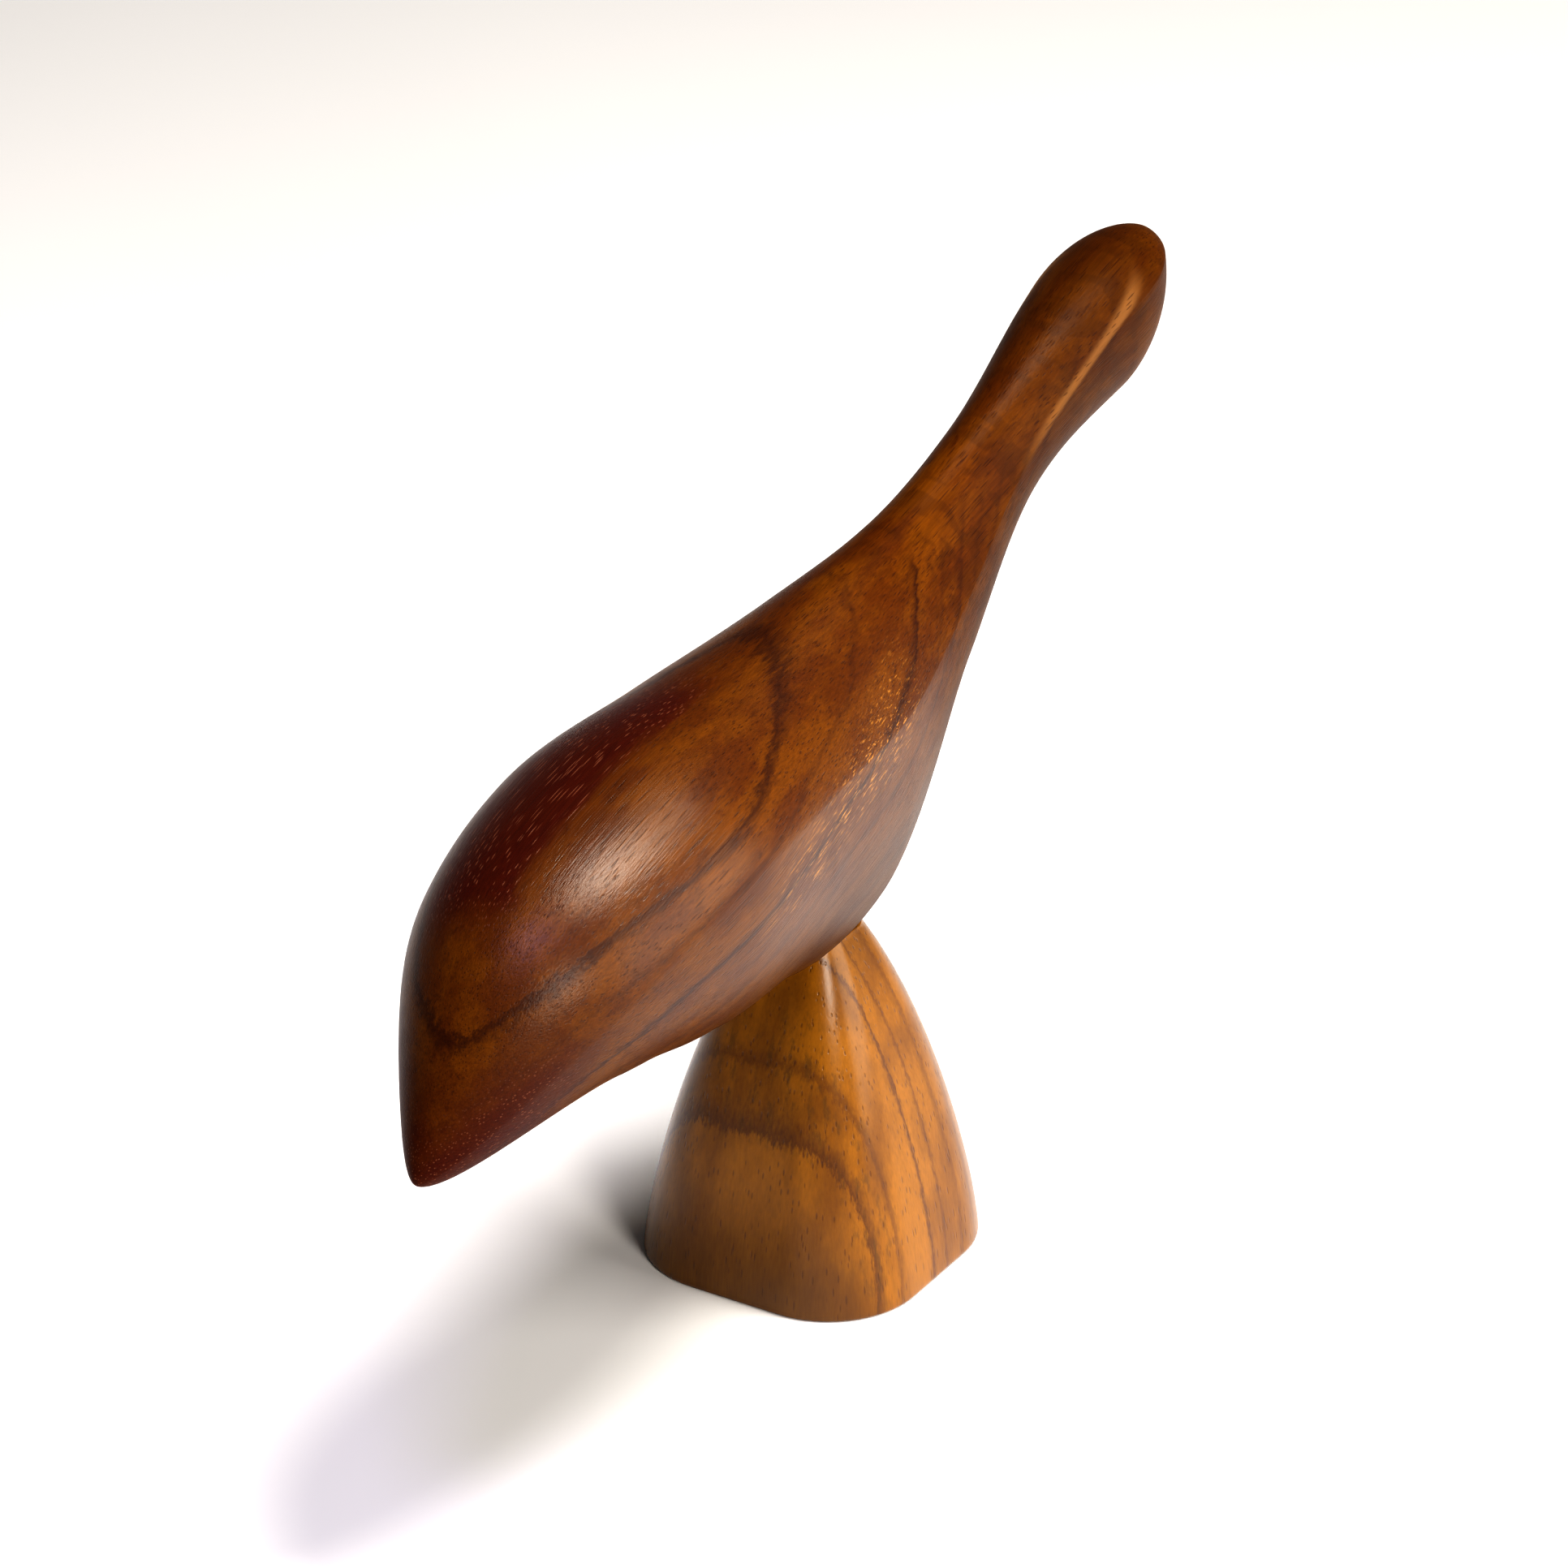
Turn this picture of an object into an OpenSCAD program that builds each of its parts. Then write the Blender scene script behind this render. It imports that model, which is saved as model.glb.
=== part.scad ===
// Carved wooden bird on a domed stand.
// The bird rests by a flat on its belly and is held by a loose wooden peg, so it turns and lifts off.
// The bird faces +X and its mirror plane is XZ. The origin is the centre of the stand's foot.

/* [Bird] */
// How far the tail tip reaches behind the middle of the stand
tail_reach = 114; // [100:1:125]
// How far the head reaches ahead of the middle of the stand
head_reach = 104; // [90:1:115]
// Height of the tail tip above the seat
tail_rise = 9; // [7:0.5:14]
// Height of the tip of the head above the seat
head_rise = 80; // [72:1:90]
// Greatest width, across the ridges on the flanks
body_w = 47; // [41:1:54]
// Greatest height of the back above the ridges
back_h = 16.5; // [12:0.5:20]
// Greatest depth of the belly below the ridges, before it is cut flat
belly_d = 42.5; // [42:0.5:46]

/* [Stand] */
// Side of the rounded square foot
foot_w = 48; // [42:1:60]
// Height of the flat top that the bird sits on
seat_z = 58; // [45:1:64]
// Height lost when the top of the dome is cut flat
dome_cut = 7.5; // [5:0.5:12]
// Corner radius of the foot, as a share of its side
corner = 0.33; // [0.15:0.01:0.45]

/* [Peg] */
// Diameter of the peg
peg_d = 6; // [4:0.5:8]
// Length of the peg, half of it in the stand and half in the bird
peg_l = 30; // [20:1:36]
// Clearance on the radius between the peg and its holes
peg_fit = 0.05; // [0.02:0.01:0.1]
// Air left at each end of the peg
peg_gap = 0.5; // [0.2:0.1:1.5]
// Chamfer on the ends of the peg
peg_chamfer = 1; // [0.2:0.1:2]

/* [Hidden] */

// Rings along the bird, and points round each ring
bird_rings = 90;
bird_sides = 40;
// Rings up the dome, and steps round each corner
dome_rings = 28;
corner_steps = 8;
peg_facets = 64;
// How far a cutting block reaches past what it cuts
past = 20;

// Sections of the bird, evenly spaced by number from the tail tip to the tip of the head:
// [place along the length, ridge, half width, back, edge, belly]
// as shares of its length, of its rise, of body_w / 2, of back_h and, for the belly, of belly_d.
// An edge of 0.5 gives a round back and 1 a sharp ridge on each flank.
sections = [
    [0.000, 0.00, 0.46, 0.56, 0.70, 0.33],
    [0.133, 0.30, 0.84, 0.90, 0.62, 0.58],
    [0.265, 0.43, 1.00, 0.89, 0.60, 0.86],
    [0.397, 0.46, 0.91, 0.86, 0.72, 0.97],
    [0.527, 0.46, 0.75, 1.00, 0.85, 1.00],
    [0.651, 0.54, 0.49, 0.86, 0.90, 0.48],
    [0.768, 0.73, 0.33, 0.46, 0.90, 0.31],
    [0.884, 0.91, 0.37, 0.31, 0.90, 0.45],
    [1.000, 1.00, 0.49, 0.35, 0.70, 0.49]
];
last = len(sections) - 1;
bird_l = tail_reach + head_reach;
// Fullness of the flanks below the ridges: 0.5 would be an ellipse, and less is boxier
flank = 0.42;
// Share of the bird that each end takes to round off, and how full the rounding is
tail_tip = 0.15;
tail_fullness = 0.62;
head_tip = 0.1;
head_fullness = 0.55;
// Shape of the dome: how late its side leans in, and how round its shoulder is
dome_lean = 1.36;
dome_shoulder = 1.5;

// Column c of the sections, carried on by one more row past each end
function column(c) = concat(
    [2 * sections[0][c] - sections[1][c]],
    [for (section = sections) section[c]],
    [2 * sections[last][c] - sections[last - 1][c]]
);
columns = [for (c = [0:5]) column(c)];

// Smooth curve through the four values of p from number i, at the fraction f between the middle two
function blend(p, i, f) = 0.5 * (
    2 * p[i + 1]
    + (p[i + 2] - p[i]) * f
    + (2 * p[i] - 5 * p[i + 1] + 4 * p[i + 2] - p[i + 3]) * pow(f, 2)
    + (3 * p[i + 1] - p[i] - 3 * p[i + 2] + p[i + 3]) * pow(f, 3)
);
// Value of column c at t, which runs from 0 at the tail tip to 1 at the tip of the head
function along(c, t) =
    let (i = min(floor(t * last), last - 1))
    blend(columns[c], i, t * last - i);

// Ridge line of the flanks, seen from the side
function ridge(t) = [
    bird_l * along(0, t) - tail_reach,
    seat_z + tail_rise + (head_rise - tail_rise) * along(1, t)
];
// Rounding of an end: 0 at the tip and 1 from the distance reach on
function rounding(t, reach, fullness) = pow(max(0, 1 - pow(1 - min(1, t / reach), 2)), fullness);
function taper(t) = rounding(t, tail_tip, tail_fullness) * rounding(1 - t, head_tip, head_fullness);

// Direction of the ridge line at t, as a unit vector
slope_step = 0.001;
function heading(t) =
    let (d = ridge(min(1, t + slope_step)) - ridge(max(0, t - slope_step)))
    d / norm(d);

// Point of the bird's skin at t, at the angle a round the section: the back up to 180 degrees,
// and then the belly
function skin(t, a) =
    let (
        size = taper(t),
        back = back_h * along(3, t) * pow(abs(sin(a)), 2 * along(4, t)),
        belly = belly_d * along(5, t) * pow(abs(sin(a)), 2 * flank),
        h = size * (a < 180 ? back : -belly),
        middle = ridge(t),
        dir = heading(t)
    )
    [
        middle[0] - dir[1] * h,
        size * body_w / 2 * along(2, t) * cos(a),
        middle[1] + dir[0] * h
    ];

// Triangles of a closed skin: rings of n points, r of them, between two end points
function skin_faces(n, r) = concat(
    [for (j = [0:n - 1]) [0, 1 + j, 1 + (j + 1) % n]],
    [for (i = [0:r - 2], j = [0:n - 1]) [1 + i * n + j, 1 + (i + 1) * n + j, 1 + i * n + (j + 1) % n]],
    [for (i = [0:r - 2], j = [0:n - 1])
        [1 + i * n + (j + 1) % n, 1 + (i + 1) * n + j, 1 + (i + 1) * n + (j + 1) % n]],
    [for (j = [0:n - 1]) [1 + r * n, 1 + (r - 1) * n + (j + 1) % n, 1 + (r - 1) * n + j]]
);

// Rings crowd towards both tips, where the skin turns fastest
function ring_place(k) =
    let (share = k / (bird_rings + 1))
    0.2 * share + 0.4 * (1 - cos(180 * share));

module bird_block() {
    points = concat(
        [skin(0, 0)],
        [for (k = [1:bird_rings], j = [0:bird_sides - 1])
            skin(ring_place(k), 360 * j / bird_sides)],
        [skin(1, 0)]
    );
    polyhedron(points, skin_faces(bird_sides, bird_rings));
}

// Half the side of the stand at the height z
function dome_half(z) =
    foot_w / 2 * pow(1 - pow(z / (seat_z + dome_cut), dome_lean), 1 / dome_shoulder);
// Rounded square of half side b at the height z
function rounded_square(b, z) = [
    for (k = [0:3], j = [0:corner_steps])
        let (
            r = 2 * corner * b,
            a = 90 * (k + j / corner_steps),
            turn = 90 * k + 45
        )
        [
            (b - r) * sign(cos(turn)) + r * cos(a),
            (b - r) * sign(sin(turn)) + r * sin(a),
            z
        ]
];

module dome_block() {
    // The dome is drawn past both of its flat faces, which are cut afterwards
    top = seat_z + dome_cut / 2;
    heights = [for (k = [0:dome_rings - 1]) top * k / (dome_rings - 1)];
    points = concat(
        [[0, 0, -past]],
        rounded_square(dome_half(0), -past),
        [for (z = heights, p = rounded_square(dome_half(z), z)) p],
        [[0, 0, top]]
    );
    polyhedron(points, skin_faces(4 * (corner_steps + 1), dome_rings + 1));
}

// Round hole for the peg, between the heights low and high
module peg_hole(low, high) {
    translate([0, 0, low])
        cylinder(h = high - low, r = peg_d / 2 + peg_fit, $fn = peg_facets);
}

module stand() {
    color("#b0702c")
    difference() {
        intersection() {
            dome_block();
            translate([-foot_w, -foot_w, 0])
                cube([2 * foot_w, 2 * foot_w, seat_z]);
        }
        peg_hole(seat_z - peg_l / 2 - peg_gap, seat_z + past);
    }
}

module peg() {
    r = peg_d / 2;
    color("#d8b483")
    translate([0, 0, seat_z - peg_l / 2])
        rotate_extrude($fn = peg_facets)
            polygon([
                [0, 0],
                [r - peg_chamfer, 0],
                [r, peg_chamfer],
                [r, peg_l - peg_chamfer],
                [r - peg_chamfer, peg_l],
                [0, peg_l]
            ]);
}

module bird() {
    color("#7a3d1a")
    difference() {
        bird_block();
        translate([-bird_l, -bird_l / 2, -past])
            cube([2 * bird_l, bird_l, seat_z + past]);
        peg_hole(seat_z - past, seat_z + peg_l / 2 + peg_gap);
    }
}

stand();
peg();
bird();
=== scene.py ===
"""Looks of a carved wooden bird on its stand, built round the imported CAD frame.

Sizes are in millimetres in the shape functions and in metres in Blender. The bird faces +X,
+Z is up, XZ is its mirror plane, and the origin is the centre of the stand's foot.
"""

import math

import bmesh
import bpy
import numpy as np
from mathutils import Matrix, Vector


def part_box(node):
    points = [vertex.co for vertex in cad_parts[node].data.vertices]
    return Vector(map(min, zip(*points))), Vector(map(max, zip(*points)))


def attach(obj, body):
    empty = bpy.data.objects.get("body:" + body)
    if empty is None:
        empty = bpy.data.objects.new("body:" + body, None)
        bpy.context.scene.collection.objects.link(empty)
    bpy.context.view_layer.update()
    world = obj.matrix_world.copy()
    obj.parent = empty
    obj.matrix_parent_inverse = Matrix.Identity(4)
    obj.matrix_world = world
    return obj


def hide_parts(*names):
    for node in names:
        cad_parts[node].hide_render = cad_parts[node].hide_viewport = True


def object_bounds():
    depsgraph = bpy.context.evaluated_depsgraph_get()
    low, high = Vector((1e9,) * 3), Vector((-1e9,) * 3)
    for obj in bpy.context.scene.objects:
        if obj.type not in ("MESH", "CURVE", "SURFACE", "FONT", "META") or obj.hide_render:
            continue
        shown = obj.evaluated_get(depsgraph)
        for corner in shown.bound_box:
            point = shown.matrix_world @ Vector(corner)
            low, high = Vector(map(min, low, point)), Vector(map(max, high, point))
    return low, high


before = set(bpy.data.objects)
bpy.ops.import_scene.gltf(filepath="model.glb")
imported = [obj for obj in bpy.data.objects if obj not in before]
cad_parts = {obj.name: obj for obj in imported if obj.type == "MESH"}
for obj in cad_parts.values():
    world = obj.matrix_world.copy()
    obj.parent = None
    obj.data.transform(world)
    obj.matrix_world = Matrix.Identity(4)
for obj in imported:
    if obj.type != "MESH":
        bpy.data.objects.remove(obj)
cad_low, cad_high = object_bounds()

MM = 0.001

# ---- Sizes, in millimetres ------------------------------------------------------------------

stand_low, stand_high = (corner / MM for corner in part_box("stand"))
peg_low, peg_high = (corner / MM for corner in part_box("peg"))
bird_low, bird_high = (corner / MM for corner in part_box("bird"))

# Stand: the height lost when the top is cut flat, how late the side leans in, how round the
# shoulder is, and the corner radius of the foot as a share of its side
seat_z = stand_high.z
foot_w = stand_high.x - stand_low.x
dome_cut = 7.5
dome_lean = 1.36
dome_shoulder = 1.5
corner_share = 0.33

# Peg holes: their clearance on the radius, and the air left at each end of the peg
peg_fit = 0.05
peg_gap = 0.5
hole_r = (peg_high.x - peg_low.x) / 2 + peg_fit
stand_hole_end = peg_low.z - peg_gap
bird_hole_end = peg_high.z + peg_gap

# Bird: its reach and rise at both ends, its greatest width, and its greatest height and depth
# above and below the ridges on the flanks
tail_reach = 114
head_reach = 104
bird_l = tail_reach + head_reach
tail_rise = 9
head_rise = 80
body_w = 47
back_h = 16.5
belly_d = 42.5
# Fullness of the flanks below the ridges: 0.5 would be an ellipse, and less is boxier
flank = 0.42
# Share of the bird that each end takes to round off, and how full the rounding is
tail_tip = 0.15
tail_fullness = 0.62
head_tip = 0.1
head_fullness = 0.55

# Sections of the bird, evenly spaced by number from the tail tip to the tip of the head: place,
# ridge, half width, back, edge and belly, as shares of the bird's length, of its rise, of
# body_w / 2, of back_h and, for the belly, of belly_d. An edge of 0.5 gives a round back and 1 a
# sharp ridge on each flank.
SECTIONS = np.array([
    [0.000, 0.00, 0.46, 0.56, 0.70, 0.33],
    [0.133, 0.30, 0.84, 0.90, 0.62, 0.58],
    [0.265, 0.43, 1.00, 0.89, 0.60, 0.86],
    [0.397, 0.46, 0.91, 0.86, 0.72, 0.97],
    [0.527, 0.46, 0.75, 1.00, 0.85, 1.00],
    [0.651, 0.54, 0.49, 0.86, 0.90, 0.48],
    [0.768, 0.73, 0.33, 0.46, 0.90, 0.31],
    [0.884, 0.91, 0.37, 0.31, 0.90, 0.45],
    [1.000, 1.00, 0.49, 0.35, 0.70, 0.49],
])
PLACE, RIDGE, WIDTH, BACK, EDGE, BELLY = range(6)

# Fineness of the meshes
BIRD_RINGS = 300
BIRD_SIDES = 144
DOME_RINGS = 90
CORNER_STEPS = 20
HOLE_SIDES = 96
ROUND_STEPS = 4
# How much the bird's rings crowd towards both tips: 0 is even spacing and 1 the most
CROWDING = 0.8
# Points of the cut edge nearer together than this become one
WELD = 0.15
# Radii of the small edge rounds that sanding leaves
BIRD_ARRIS = 0.3
FOOT_ARRIS = 0.6
TOP_ARRIS = 0.3
# Air between the two flat faces, so that neither cuts the other as the bird turns
HAIRLINE = 0.02


# ---- Shape of the bird ----------------------------------------------------------------------

def along(column, t):
    """Smooth curve through one column of the sections; t is 0 at the tail and 1 at the head."""
    p = SECTIONS[:, column]
    p = np.concatenate([[2 * p[0] - p[1]], p, [2 * p[-1] - p[-2]]])
    place = np.asarray(t, float) * (len(SECTIONS) - 1)
    i = np.minimum(np.floor(place).astype(int), len(SECTIONS) - 2)
    f = place - i
    p0, p1, p2, p3 = p[i], p[i + 1], p[i + 2], p[i + 3]
    return 0.5 * (
        2 * p1
        + (p2 - p0) * f
        + (2 * p0 - 5 * p1 + 4 * p2 - p3) * f ** 2
        + (3 * p1 - p0 - 3 * p2 + p3) * f ** 3
    )


def ridge(t):
    """Ridge line of the flanks, seen from the side, as x and z."""
    x = bird_l * along(PLACE, t) - tail_reach
    z = seat_z + tail_rise + (head_rise - tail_rise) * along(RIDGE, t)
    return x, z


def heading(t):
    """Direction of the ridge line at t, as the x and z of a unit vector."""
    step = 0.001
    x1, z1 = ridge(np.minimum(1, t + step))
    x0, z0 = ridge(np.maximum(0, t - step))
    size = np.hypot(x1 - x0, z1 - z0)
    return (x1 - x0) / size, (z1 - z0) / size


def rounding(t, reach, fullness):
    """Rounding of an end: 0 at the tip and 1 from the distance reach on."""
    return np.maximum(0, 1 - (1 - np.minimum(1, t / reach)) ** 2) ** fullness


def skin(t, angle):
    """Points of the bird's skin at t, at an angle round the section: the back up to half a turn."""
    size = rounding(t, tail_tip, tail_fullness) * rounding(1 - t, head_tip, head_fullness)
    rise = np.abs(np.sin(angle))
    back = back_h * along(BACK, t) * rise ** (2 * along(EDGE, t))
    belly = belly_d * along(BELLY, t) * rise ** (2 * flank)
    h = size * np.where(angle < math.pi, back, -belly)
    x, z = ridge(t)
    dx, dz = heading(t)
    y = size * body_w / 2 * along(WIDTH, t) * np.cos(angle)
    return np.stack([x - dz * h, y, z + dx * h], axis=-1)


# ---- Mesh tools -----------------------------------------------------------------------------

def rings_to_bmesh(rings, low_tip=None, high_tip=None):
    """A bmesh of quads between closed rings of points, with optional tips."""
    bm = bmesh.new()
    rows = [[bm.verts.new(point * MM) for point in ring] for ring in rings]
    count = len(rows[0])
    for lower, upper in zip(rows, rows[1:]):
        for j in range(count):
            k = (j + 1) % count
            bm.faces.new((lower[j], lower[k], upper[k], upper[j]))
    for tip, row in ((low_tip, rows[0]), (high_tip, rows[-1])):
        if tip is not None:
            point = bm.verts.new(tip * MM)
            for j in range(count):
                bm.faces.new((point, row[j], row[(j + 1) % count]))
    return bm, rows


def open_edge(bm):
    """The vertices round the open edge of bm, in order."""
    start = next(edge for edge in bm.edges if edge.is_boundary).verts[0]
    loop, used, here = [start], set(), start
    while True:
        edge = next((e for e in here.link_edges if e.is_boundary and e not in used), None)
        if edge is None:
            return loop
        used.add(edge)
        here = edge.other_vert(here)
        if here is start:
            return loop
        loop.append(here)


def join_loops(bm, lower, upper):
    """A strip of quads between two closed loops with as many vertices each."""
    count = len(lower)
    for j in range(count):
        k = (j + 1) % count
        bm.faces.new((lower[j], lower[k], upper[k], upper[j]))


def hole_ring(bm, z):
    """A ring of vertices round the peg hole at the height z."""
    turns = [2 * math.pi * j / HOLE_SIDES for j in range(HOLE_SIDES)]
    points = [Vector((hole_r * math.cos(a), hole_r * math.sin(a), z)) for a in turns]
    return [bm.verts.new(point * MM) for point in points]


def flat_with_hole(bm, outline, z, end):
    """Fills a flat face inside an outline, round the peg hole, and lines the hole to its end."""
    rim = hole_ring(bm, z)
    floor_rim = hole_ring(bm, end)
    count = len(outline)
    edges = [bm.edges.get((outline[j], outline[(j + 1) % count])) for j in range(count)]
    edges += [bm.edges.new((rim[j], rim[(j + 1) % HOLE_SIDES])) for j in range(HOLE_SIDES)]
    filled = bmesh.ops.triangle_fill(bm, edges=edges, use_beauty=True)
    faces = [item for item in filled["geom"] if isinstance(item, bmesh.types.BMFace)]
    join_loops(bm, rim, floor_rim)
    faces.append(bm.faces.new(floor_rim))
    return faces


def finish_piece(bm, name, flat_faces, body, node, material):
    """Turns bm into a piece that stands for a CAD node, smooth except round its flat faces."""
    bmesh.ops.recalc_face_normals(bm, faces=bm.faces)
    flats = set(flat_faces)
    for face in bm.faces:
        face.smooth = face not in flats
    for edge in bm.edges:
        edge.smooth = not (len(flats.intersection(edge.link_faces)) == 1)
    mesh = bpy.data.meshes.new(name)
    bm.to_mesh(mesh)
    bm.free()
    piece = bpy.data.objects.new(name, mesh)
    bpy.context.scene.collection.objects.link(piece)
    mesh.materials.append(material)
    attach(piece, body)
    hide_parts(node)
    return piece


# ---- Pieces ---------------------------------------------------------------------------------

def carved_skin():
    """A bmesh of the bird's whole skin, before it is cut flat."""
    share = np.arange(1, BIRD_RINGS + 1) / (BIRD_RINGS + 1)
    places = (1 - CROWDING) * share + CROWDING / 2 * (1 - np.cos(math.pi * share))
    angles = 2 * math.pi * np.arange(BIRD_SIDES) / BIRD_SIDES
    grid = np.clip(skin(places[:, None], angles[None, :]), bird_low, bird_high)
    rings = [[Vector(point) for point in ring] for ring in grid]
    tail, head = (Vector(skin(np.array(t), np.array(0.0))) for t in (0.0, 1.0))
    bm, _ = rings_to_bmesh(rings, tail, head)
    return bm


def cut_level(bm, z):
    """Cuts away what is below the height z, and returns the outline of the cut."""
    bmesh.ops.bisect_plane(
        bm,
        geom=[*bm.verts, *bm.edges, *bm.faces],
        plane_co=(0, 0, z * MM),
        plane_no=(0, 0, 1),
        clear_inner=True,
    )
    rim = [v for v in bm.verts if v.is_boundary]
    bmesh.ops.remove_doubles(bm, verts=rim, dist=WELD * MM)
    return open_edge(bm)


def round_under(bm, outline, z, radius):
    """Rounds the edge below an outline at the height z, and returns the outline of its bottom."""
    points = np.array([v.co.xy for v in outline]) / MM
    tangents = np.roll(points, -1, axis=0) - np.roll(points, 1, axis=0)
    x, y = points.T
    area = np.sum(x * np.roll(y, -1) - np.roll(x, -1) * y)
    inward = np.stack([-tangents[:, 1], tangents[:, 0]], axis=1) * np.sign(area)
    inward /= np.linalg.norm(inward, axis=1)[:, None]
    for k in range(1, ROUND_STEPS + 1):
        turn = math.pi / 2 * k / ROUND_STEPS
        inset = points + inward * radius * (1 - math.cos(turn))
        level = z - radius * math.sin(turn)
        row = [bm.verts.new(Vector((*place, level)) * MM) for place in inset]
        join_loops(bm, outline, row)
        outline = row
    return outline


def build_bird(material):
    """The bird: its carved skin, cut flat under the belly, with the peg socket in the flat."""
    flat_z = seat_z + HAIRLINE
    cut_z = flat_z + BIRD_ARRIS
    bm = carved_skin()
    outline = round_under(bm, cut_level(bm, cut_z), cut_z, BIRD_ARRIS)
    flats = flat_with_hole(bm, outline, flat_z, bird_hole_end)
    return finish_piece(bm, "bird_skin", flats, "bird", "bird", material)


def dome_half(z):
    """Half the side of the stand at the height z."""
    return foot_w / 2 * (1 - (z / (seat_z + dome_cut)) ** dome_lean) ** (1 / dome_shoulder)


def rounded_square(half, z):
    """Rounded square of half side half at the height z."""
    r = 2 * corner_share * half
    points = []
    for k in range(4):
        turn = math.radians(90 * k + 45)
        cx = (half - r) * math.copysign(1, math.cos(turn))
        cy = (half - r) * math.copysign(1, math.sin(turn))
        for j in range(CORNER_STEPS + 1):
            a = math.radians(90 * (k + j / CORNER_STEPS))
            points.append(Vector((cx + r * math.cos(a), cy + r * math.sin(a), z)))
    return points


def build_stand(material):
    """The stand: a domed block with a rounded square foot, a flat top and the peg hole."""
    rings = []
    for k in range(ROUND_STEPS + 1):
        turn = math.pi / 2 * k / ROUND_STEPS
        z = FOOT_ARRIS * (1 - math.cos(turn))
        rings.append(rounded_square(dome_half(z) - FOOT_ARRIS * (1 - math.sin(turn)), z))
    for k in range(1, DOME_RINGS):
        z = FOOT_ARRIS + (seat_z - TOP_ARRIS - FOOT_ARRIS) * k / DOME_RINGS
        rings.append(rounded_square(dome_half(z), z))
    for k in range(ROUND_STEPS + 1):
        turn = math.pi / 2 * k / ROUND_STEPS
        z = seat_z - TOP_ARRIS * (1 - math.sin(turn))
        half = dome_half(seat_z - TOP_ARRIS) - TOP_ARRIS * (1 - math.cos(turn))
        rings.append(rounded_square(half, z))
    bm, rows = rings_to_bmesh(rings)
    flats = [bm.faces.new(rows[0])]
    flats += flat_with_hole(bm, rows[-1], seat_z, stand_hole_end)
    return finish_piece(bm, "stand_skin", flats, "stand", "stand", material)


# ---- Material tools -------------------------------------------------------------------------

BLACK = (0, 0, 0)


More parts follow.
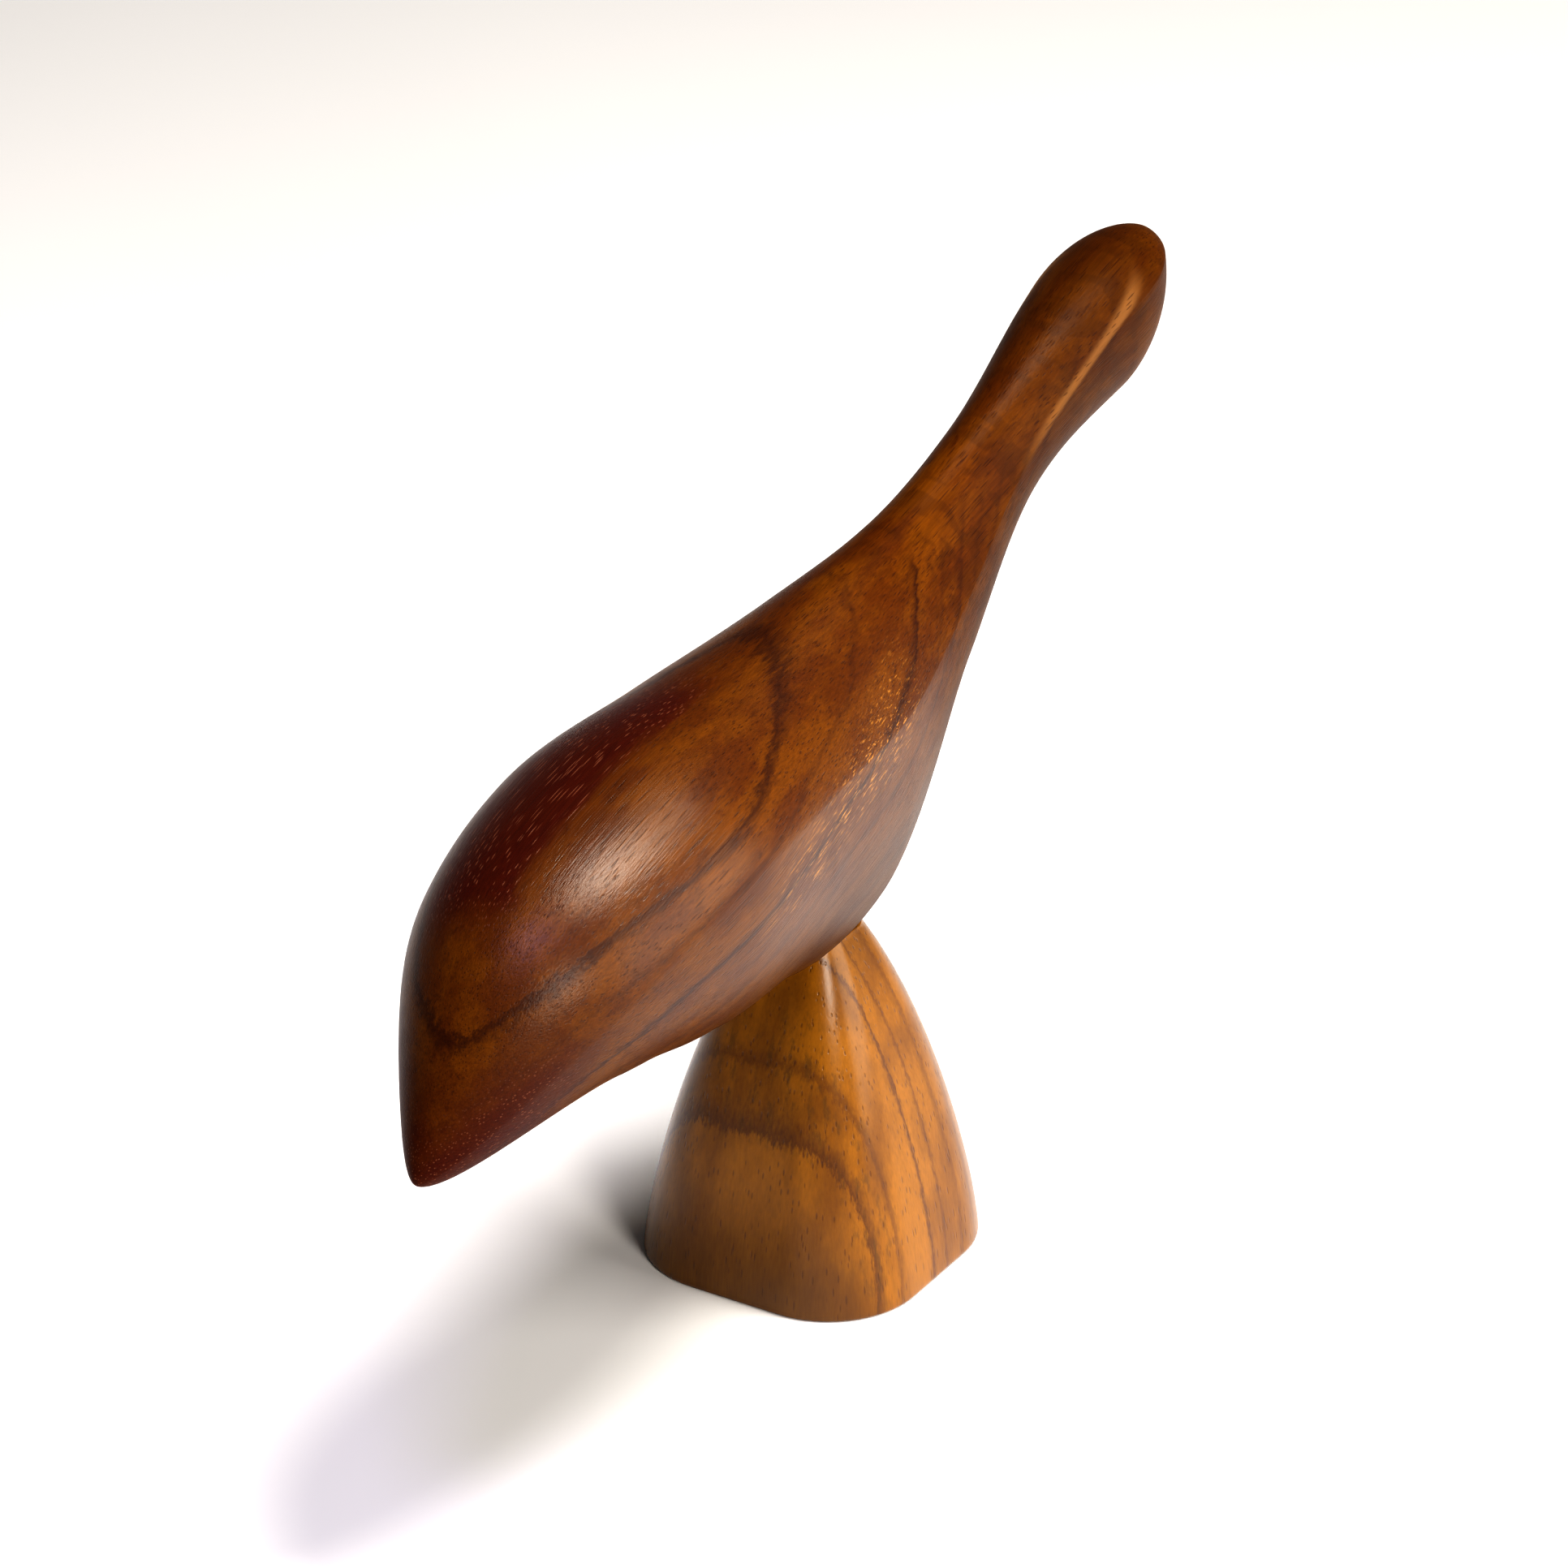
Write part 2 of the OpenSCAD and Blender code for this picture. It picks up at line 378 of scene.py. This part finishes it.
class Graph:
    """The nodes of a material or a world, added one at a time."""

    def __init__(self, owner):
        owner.use_nodes = True
        self.owner = owner
        self.tree = owner.node_tree
        self.tree.nodes.clear()

    def add(self, kind, inputs, **settings):
        """A new node; each of its inputs is a constant or the output of another node."""
        node = self.tree.nodes.new(kind)
        for key, value in settings.items():
            setattr(node, key, value)
        for key, value in inputs.items():
            if isinstance(value, bpy.types.NodeSocket):
                self.tree.links.new(value, node.inputs[key])
            else:
                node.inputs[key].default_value = value
        return node

    # Arithmetic

    def math(self, operation, a, b=0.0):
        return self.add("ShaderNodeMath", {0: a, 1: b}, operation=operation).outputs[0]

    def plus(self, a, b):
        return self.math("ADD", a, b)

    def minus(self, a, b):
        return self.math("SUBTRACT", a, b)

    def times(self, first, *others):
        """The product of two or more values."""
        for other in others:
            first = self.math("MULTIPLY", first, other)
        return first

    def square(self, value):
        return self.math("POWER", value, 2)

    def over_zero(self, value):
        """The value where it is positive, and 0 elsewhere."""
        return self.math("MAXIMUM", value, 0)

    def distance(self, a, b):
        return self.math("ABSOLUTE", self.minus(a, b))

    def sway(self, value, noise, size):
        """The value moved by a noise, over a range of that size."""
        return self.plus(value, self.times(self.minus(noise, 0.5), size))

    def step(self, value, low, high, start=0.0, end=1.0):
        """A smooth step from start at low to end at high; high may be less than low."""
        inputs = {"Value": value, "From Min": low, "From Max": high, "To Min": start, "To Max": end}
        node = self.add("ShaderNodeMapRange", inputs, interpolation_type="SMOOTHSTEP")
        return node.outputs["Result"]

    def spread(self, share, low, high):
        """A share from 0 to 1 spread evenly over a range."""
        inputs = {"Value": share, "To Min": low, "To Max": high}
        return self.add("ShaderNodeMapRange", inputs).outputs["Result"]

    # Places on the object

    def coordinates(self, kind):
        """The object's own coordinates, the normal on it or, for the world, the direction."""
        return self.add("ShaderNodeTexCoord", {}).outputs[kind]

    def scaled(self, vector, size):
        """The vector with each of its parts multiplied by its own number."""
        inputs = {0: vector, 1: size}
        return self.add("ShaderNodeVectorMath", inputs, operation="MULTIPLY").outputs[0]

    def split(self, vector):
        return self.add("ShaderNodeSeparateXYZ", {0: vector}).outputs

    def place(self):
        """Place on the object in millimetres."""
        return self.scaled(self.coordinates("Object"), (1 / MM,) * 3)

    def grain(self, lean):
        """Place in millimetres with X along the grain, which leans up from X by degrees."""
        inputs = {"Vector": self.place(), "Rotation": (0, math.radians(lean), 0)}
        return self.add("ShaderNodeMapping", inputs).outputs["Vector"]

    # Patterns

    def noise(self, vector, detail, roughness=0.5, scale=1.0):
        """Noise from 0 to 1 with its mean at 0.5; scale is in cells for each unit of the vector."""
        inputs = {"Vector": vector, "Scale": scale, "Detail": detail, "Roughness": roughness}
        return self.add("ShaderNodeTexNoise", inputs).outputs["Fac"]

    def streaks(self, grain, along_grain, across_grain, detail, roughness=0.5):
        """Noise stretched with the grain, in cells for each millimetre along and across it."""
        stretched = self.scaled(grain, (along_grain, across_grain, across_grain))
        return self.noise(stretched, detail, roughness)

    def pores(self, grain, length, width, low, high):
        """Fine dashes along the grain, from cells of that length and width."""
        stretched = self.scaled(grain, (1 / length, 1 / width, 1 / width))
        inputs = {"Vector": stretched, "Scale": 1.0, "Randomness": 1.0}
        cells = self.add("ShaderNodeTexVoronoi", inputs, feature="F1").outputs["Distance"]
        return self.step(cells, high, low)

    def lines(self, coordinate, low, high, places):
        """Lines across a coordinate between two ends, each with its place, strength and fades."""
        inputs = {"Value": coordinate, "From Min": low, "From Max": high}
        share = self.add("ShaderNodeMapRange", inputs).outputs["Result"]
        node = self.add("ShaderNodeValToRGB", {"Fac": share})
        ramp = node.color_ramp
        ramp.elements[0].color = (*BLACK, 1)
        ramp.elements[1].color = (*BLACK, 1)
        for place, strength, before, after in places:
            for offset, level in ((-before, 0), (0, strength), (after, 0)):
                stop = ramp.elements.new((place + offset - low) / (high - low))
                stop.color = (level, level, level, 1)
        return node.outputs["Color"]

    # Colour

    def mix(self, share, a, b, blend="MIX"):
        """The colour a with the colour b over it, by a share from 0 to 1."""
        a, b = (c if isinstance(c, bpy.types.NodeSocket) else (*c, 1) for c in (a, b))
        # Inputs 0, 6 and 7 are the share and the two colours
        inputs = {0: share, 6: a, 7: b}
        return self.add("ShaderNodeMix", inputs, data_type="RGBA", blend_type=blend).outputs[2]

    def tint(self, colour, b, strength, *masks):
        """The colour with b over it, by a strength and by any number of masks."""
        return self.mix(self.times(*masks, strength), colour, b)

    def shaded(self, colour, streaks, low, high):
        """The colour made darker and lighter by streaks."""
        return self.mix(1.0, colour, self.spread(streaks, low, high), "MULTIPLY")


def satin(g, colour, roughness, height, bump, coat, coat_roughness=0.3):
    """Oiled and rubbed wood: a broad soft gloss under a thin varnish."""
    normal = g.add("ShaderNodeBump", {"Height": height, "Distance": bump}).outputs["Normal"]
    inputs = {
        "Base Color": colour,
        "Roughness": roughness,
        "Normal": normal,
        "Specular IOR Level": 0.05,
        "Coat Weight": coat,
        "Coat Roughness": coat_roughness,
        "Coat IOR": 1.42,
        "Coat Normal": normal,
    }
    shader = g.add("ShaderNodeBsdfPrincipled", inputs).outputs[0]
    g.add("ShaderNodeOutputMaterial", {"Surface": shader})
    return g.owner


# ---- Colours, as linear red, green and blue -------------------------------------------------

BIRD_DEEP = (0.074, 0.019, 0.0004)
BIRD_LIGHT = (0.110, 0.034, 0.0004)
BIRD_MOTTLE = (0.05, 0.010, 0.0008)
BIRD_FLECK = (0.03, 0.006, 0.0008)
BIRD_RING = (0.024, 0.005, 0.0015)
BIRD_HEART = (0.042, 0.003, 0.001)
BIRD_RIPPLE = (0.03, 0.008, 0.0008)
# Painted shade colour for the bird's lower flank
BIRD_SHADE = (0.03, 0.009, 0.0006)
# Painted glint colour for the bright fibres near the ridges of the flanks
BIRD_PAINTED_GLINT = (0.55, 0.25, 0.04)
# Painted highlight colour along the ridges of the neck
BIRD_PAINTED_RIDGE_HIGHLIGHT = (0.33, 0.16, 0.05)
BIRD_PORE = (0.02, 0.004, 0.001)
HEART_PORE = (0.24, 0.085, 0.04)

STAND_DEEP = (0.165, 0.060, 0.001)
STAND_LIGHT = (0.27, 0.106, 0.003)
STAND_RING = (0.075, 0.024, 0.004)
STAND_STAIN = (0.085, 0.04, 0.006)
STAND_BASE = (0.085, 0.033, 0.003)
# Painted shade colour for the front half of the stand
STAND_FRONT_SHADE = (0.12, 0.042, 0.004)
STAND_PORE = (0.06, 0.02, 0.004)

PEG_DEEP = (0.42, 0.26, 0.12)
PEG_LIGHT = (0.62, 0.43, 0.23)
PEG_PORE = (0.2, 0.11, 0.05)

FLOOR_DEEP = (0.92, 0.94, 0.97)
FLOOR_LIGHT = (0.95, 0.97, 1.0)


# ---- Materials ------------------------------------------------------------------------------
# Distances are in millimetres. u is along the grain, v and w are across it, and level is the
# coordinate across the growth rings.

# Growth rings: place across the rings, strength, and the fades before and after the darkest line
BIRD_RING_PLACES = [
    (72, 0.5, 0.5, 1.2),
    (76.5, 0.45, 0.4, 0.9),
    (81, 0.35, 0.4, 0.9),
    (84.5, 0.3, 0.4, 0.8),
    (88, 0.6, 0.5, 1.2),
    (92.5, 0.3, 0.4, 0.9),
    (98.3, 0.9, 0.5, 1.3),
    (108.8, 0.35, 0.5, 0.9),
    (114.8, 0.85, 1.3, 0.5),
]
STAND_RING_PLACES = [
    (-22.5, 0.45, 0.5, 1.4),
    (-18, 0.45, 0.5, 1.4),
    (-13.5, 0.5, 0.5, 1.4),
    (-9, 0.5, 0.5, 1.4),
    (-4.5, 0.55, 0.5, 1.4),
    (0.5, 0.75, 0.35, 0.7),
    (5, 0.95, 0.5, 0.8),
    (14.3, 0.6, 1.0, 0.5),
    (18.5, 0.85, 1.5, 0.4),
]


def bird_level(g, u, w):
    """Coordinate across the bird's growth rings, which bend up into the neck and down at the tail."""
    bend_start = 10
    bend_end = 55
    tail_bend = -55
    up_neck = g.over_zero(g.minus(g.math("MINIMUM", u, bend_end), bend_start))
    along_neck = g.over_zero(g.minus(u, bend_end))
    at_tail = g.over_zero(g.minus(tail_bend, u))
    bend = g.plus(g.times(g.square(up_neck), 0.0075), g.times(along_neck, 0.6))
    bend = g.minus(bend, g.times(g.square(at_tail), 0.008))
    return g.minus(w, bend)


def bird_rings(g, grain, x, v, level):
    """The bird's growth rings, which fade where they would cross the top of the neck."""
    slow = g.streaks(grain, 0.02, 0.06, 1.0)
    ragged = g.streaks(grain, 0.12, 1.1, 3.0, 0.6)
    uneven = g.sway(g.sway(level, slow, 5.0), ragged, 2.6)
    rings = g.lines(uneven, 60, 130, BIRD_RING_PLACES)
    neck_top = g.times(g.step(x, 12, 20), g.step(g.math("ABSOLUTE", v), 8, 4))
    return g.mix(neck_top, rings, BLACK)


def bird_heart(g, figure, u, v, level):
    """Mask of the dark heart wood: a patch on the left of the back, and the end of the tail."""
    edge = g.sway(v, figure, 16)
    patch = g.times(g.step(edge, -3, 1.5), g.step(level, 113, 116.5))
    patch = g.times(patch, g.step(u, -74, -62), g.step(u, 6, -14))
    tail = g.times(g.step(u, -66, -82), g.step(level, 112, 105))
    return g.math("MAXIMUM", patch, g.times(tail, 0.9))


def bird_material():
    """Reddish brown figured wood with the grain along the bird and dark heart wood in two places."""
    g = Graph(bpy.data.materials.new("bird_wood"))
    grain = g.grain(12.5)
    u, v, w = g.split(grain)
    place = g.place()
    x, _, z = g.split(place)
    level = bird_level(g, u, w)

    # Two browns in a mottled figure with flecks
    figure = g.streaks(grain, 0.05, 0.14, 4.0, 0.6)
    mottle = g.streaks(grain, 0.13, 0.5, 4.0, 0.65)
    fleck = g.streaks(grain, 0.45, 1.7, 3.0, 0.7)
    colour = g.mix(g.step(figure, 0.38, 0.62), BIRD_DEEP, BIRD_LIGHT)
    colour = g.tint(colour, BIRD_MOTTLE, 0.32, g.step(mottle, 0.5, 0.7))
    colour = g.tint(colour, BIRD_FLECK, 0.45, g.step(fleck, 0.54, 0.66), g.step(mottle, 0.46, 0.56))

    # Growth rings, heart wood and fibres
    colour = g.mix(bird_rings(g, grain, x, v, level), colour, BIRD_RING)
    heart = bird_heart(g, figure, u, v, level)
    colour = g.tint(colour, BIRD_HEART, 0.9, heart)
    fibres = g.streaks(grain, 0.09, 3.2, 3.0, 0.6)
    colour = g.shaded(colour, fibres, 0.45, 1.55)

    # Faint bands across the neck, and painted shade darkening the lower flank
    ripple = g.noise(g.scaled(place, (0.32, 0.045, 0.32)), 1.0)
    colour = g.tint(colour, BIRD_RIPPLE, 0.3, g.step(ripple, 0.48, 0.6), g.step(u, 30, 50))
    colour = g.tint(colour, BIRD_SHADE, 0.45, g.step(level, 90, 70), g.step(level, 40, 60))

    # Painted glints: bright fibre highlights painted near the ridges of the flanks
    painted_glint = g.step(g.streaks(grain, 0.06, 2.6, 3.0, 0.7), 0.55, 0.68)
    near_ridge = g.step(g.distance(level, 98), 9, 2)
    colour = g.tint(colour, BIRD_PAINTED_GLINT, 0.75, painted_glint, near_ridge, g.step(u, -42, -12), g.step(u, 34, 14))

    # Painted highlight along the ridges of the neck, which climb half a millimetre for each one along x
    off_ridge = g.distance(g.minus(z, g.times(x, 0.5)), 92.4)
    along_neck = g.times(g.step(x, 48, 66), g.step(x, 92, 84))
    colour = g.tint(colour, BIRD_PAINTED_RIDGE_HIGHLIGHT, 0.4, g.step(off_ridge, 1.5, 0.2), along_neck)

    # Pores, which are light in the heart wood
    pores = g.pores(grain, 9.0, 0.45, 0.14, 0.3)
    colour = g.tint(colour, g.mix(heart, BIRD_PORE, HEART_PORE), 0.55, pores)

    # The neck, the tail and the underside are left duller than the back
    _, _, up = g.split(g.coordinates("Normal"))
    glossy = g.times(g.step(u, 48, 12), g.step(u, -98, -62), g.step(up, -0.6, -0.1))
    return satin(
        g,
        colour,
        roughness=g.spread(mottle, 0.36, 0.5),
        height=g.minus(fibres, g.times(pores, 0.3)),
        bump=0.06 * MM,
        coat=g.spread(glossy, 0.04, 0.6),
    )


def stand_material():
    """Golden brown wood with an upright grain; its growth rings face along the bird."""
    g = Graph(bpy.data.materials.new("stand_wood"))
    grain = g.grain(90)
    # With the grain upright u is the height and w is -x
    u, v, w = g.split(grain)

    # The growth rings bow towards the head at a height of 24, and cup towards it at both sides
    bow = g.times(g.square(g.minus(u, 24)), 0.0022)
    cup = g.times(g.square(v), 0.008)
    level = g.plus(g.minus(w, bow), cup)
    slow = g.streaks(grain, 0.03, 0.07, 1.0)
    ragged = g.streaks(grain, 0.1, 1.9, 3.0, 0.65)
    uneven = g.sway(g.sway(level, slow, 2.2), ragged, 2.2)

    figure = g.streaks(grain, 0.04, 0.12, 3.0, 0.55)
    colour = g.mix(g.step(figure, 0.35, 0.65), STAND_DEEP, STAND_LIGHT)
    colour = g.mix(g.lines(uneven, -26, 26, STAND_RING_PLACES), colour, STAND_RING)

    # Stained streaks at the corners by the tail, a darker foot there, and painted shade darkening the
    # front half
    streak = g.streaks(grain, 0.08, 0.7, 4.0, 0.7)
    near_corner = g.step(g.distance(w, 15), 5.5, 1.5)
    colour = g.tint(colour, STAND_STAIN, 0.6, g.step(streak, 0.5, 0.66), near_corner)
    colour = g.tint(colour, STAND_BASE, 0.65, g.step(u, 24, 4), g.step(w, 12, 22))
    colour = g.tint(colour, STAND_FRONT_SHADE, 0.6, g.step(w, 2, -20))

    fibres = g.streaks(grain, 0.06, 2.6, 3.0, 0.6)
    colour = g.shaded(colour, fibres, 0.72, 1.28)
    pores = g.pores(grain, 6.0, 0.8, 0.12, 0.26)
    return satin(
        g,
        g.tint(colour, STAND_PORE, 0.5, pores),
        roughness=g.spread(figure, 0.38, 0.5),
        height=g.minus(g.times(fibres, 0.5), pores),
        bump=0.03 * MM,
        coat=0.85,
        coat_roughness=0.26,
    )


def peg_material():
    """Pale bare hardwood, with its grain along the peg."""
    g = Graph(bpy.data.materials.new("peg_wood"))
    grain = g.grain(90)
    fibres = g.streaks(grain, 0.1, 2.2, 4.0, 0.6)
    colour = g.mix(g.step(fibres, 0.3, 0.7), PEG_DEEP, PEG_LIGHT)
    pores = g.pores(grain, 4.0, 0.5, 0.12, 0.26)
    return satin(
        g,
        g.tint(colour, PEG_PORE, 0.5, pores),
        roughness=g.spread(fibres, 0.55, 0.7),
        height=g.minus(fibres, pores),
        bump=0.05 * MM,
        coat=0.0,
    )


def floor_material():
    """Plain pale matt floor with a barely visible unevenness."""
    g = Graph(bpy.data.materials.new("floor"))
    cloud = g.noise(g.coordinates("Object"), 2.0, scale=3.0)
    colour = g.mix(cloud, FLOOR_DEEP, FLOOR_LIGHT)
    inputs = {"Base Color": colour, "Roughness": 0.9, "Specular IOR Level": 0.1}
    shader = g.add("ShaderNodeBsdfPrincipled", inputs).outputs[0]
    g.add("ShaderNodeOutputMaterial", {"Surface": shader})
    return g.owner


# ---- Surroundings, in metres ----------------------------------------------------------------

FLOOR_HALF = 6.0
FLOOR_CELLS = 8

# Area lights: name, direction from the middle of the object, power in watts, colour, distance,
# size and outline
LIGHTS = [
    ("key", (0.14, -0.21, 0.94), 4.7, (1, 0.93, 0.82), 0.7, 0.26, "DISK"),
    ("window", (0.30, -0.89, 0.34), 11, (1, 0.94, 0.86), 1.2, 0.9, "SQUARE"),
    ("front", (-0.46, -0.75, 0.47), 6, (1, 0.92, 0.82), 1.2, 0.3, "SQUARE"),
    ("sky", (-0.47, -0.12, 0.87), 0.5, (0.68, 0.6, 1), 0.5, 0.12, "SQUARE"),
]
ROOM_COLOUR = (1, 0.97, 0.93, 1)

# Camera: azimuth from -Y towards +X and elevation in degrees, distance, and what it aims at,
# from the middle of the CAD box
CAMERA_AZIMUTH = -58.59
CAMERA_ELEVATION = 28.16
CAMERA_DISTANCE = 1.5
CAMERA_AIM = Vector((22, 15.7, 0.4)) * MM
SENSOR_MM = 36
LENS_MM = 215

middle = (cad_low + cad_high) / 2


def build_floor():
    """A wide flat floor under the stand."""
    bm = bmesh.new()
    bmesh.ops.create_grid(bm, x_segments=FLOOR_CELLS, y_segments=FLOOR_CELLS, size=FLOOR_HALF)
    mesh = bpy.data.meshes.new("floor")
    bm.to_mesh(mesh)
    bm.free()
    floor = bpy.data.objects.new("floor", mesh)
    bpy.context.scene.collection.objects.link(floor)
    mesh.materials.append(floor_material())


def add_light(name, direction, power, colour, distance, size, outline):
    """An area light that shines on the middle of the object from a direction."""
    light = bpy.data.lights.new(name, "AREA")
    light.energy = power
    light.color = colour
    light.shape = outline
    light.size = size
    towards = Vector(direction).normalized()
    lamp = bpy.data.objects.new(name, light)
    bpy.context.scene.collection.objects.link(lamp)
    lamp.location = middle + towards * distance
    lamp.rotation_euler = towards.to_track_quat("Z", "Y").to_euler()


def add_room():
    """Soft light from all round, strongest low down and on the bird's right side."""
    g = Graph(bpy.data.worlds.new("studio"))
    _, y, z = g.split(g.coordinates("Generated"))
    low_down = g.step(z, 0.02, 0.3, 0.65, 0.1)
    right_side = g.step(y, 0.5, -0.3, 0.35, 1.0)
    inputs = {"Color": ROOM_COLOUR, "Strength": g.times(low_down, right_side)}
    background = g.add("ShaderNodeBackground", inputs).outputs[0]
    g.add("ShaderNodeOutputWorld", {"Surface": background})
    bpy.context.scene.world = g.owner


def add_camera():
    """The camera behind the bird's right side, far off with a long lens."""
    a = math.radians(CAMERA_AZIMUTH)
    e = math.radians(CAMERA_ELEVATION)
    back = Vector((math.sin(a) * math.cos(e), -math.cos(a) * math.cos(e), math.sin(e)))
    data = bpy.data.cameras.new("camera")
    data.sensor_width = SENSOR_MM
    data.lens = LENS_MM
    data.clip_start = 0.1
    camera = bpy.data.objects.new("camera", data)
    bpy.context.scene.collection.objects.link(camera)
    camera.location = middle + CAMERA_AIM + back * CAMERA_DISTANCE
    camera.rotation_euler = back.to_track_quat("Z", "Y").to_euler()
    bpy.context.scene.camera = camera


# ---- The scene ------------------------------------------------------------------------------

add_camera()
for light_settings in LIGHTS:
    add_light(*light_settings)
add_room()
build_floor()
bpy.context.scene.view_settings.view_transform = "Standard"
bpy.context.scene.view_settings.look = "High Contrast"
build_bird(bird_material())
build_stand(stand_material())
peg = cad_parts["peg"]
peg.data.materials.clear()
peg.data.materials.append(peg_material())
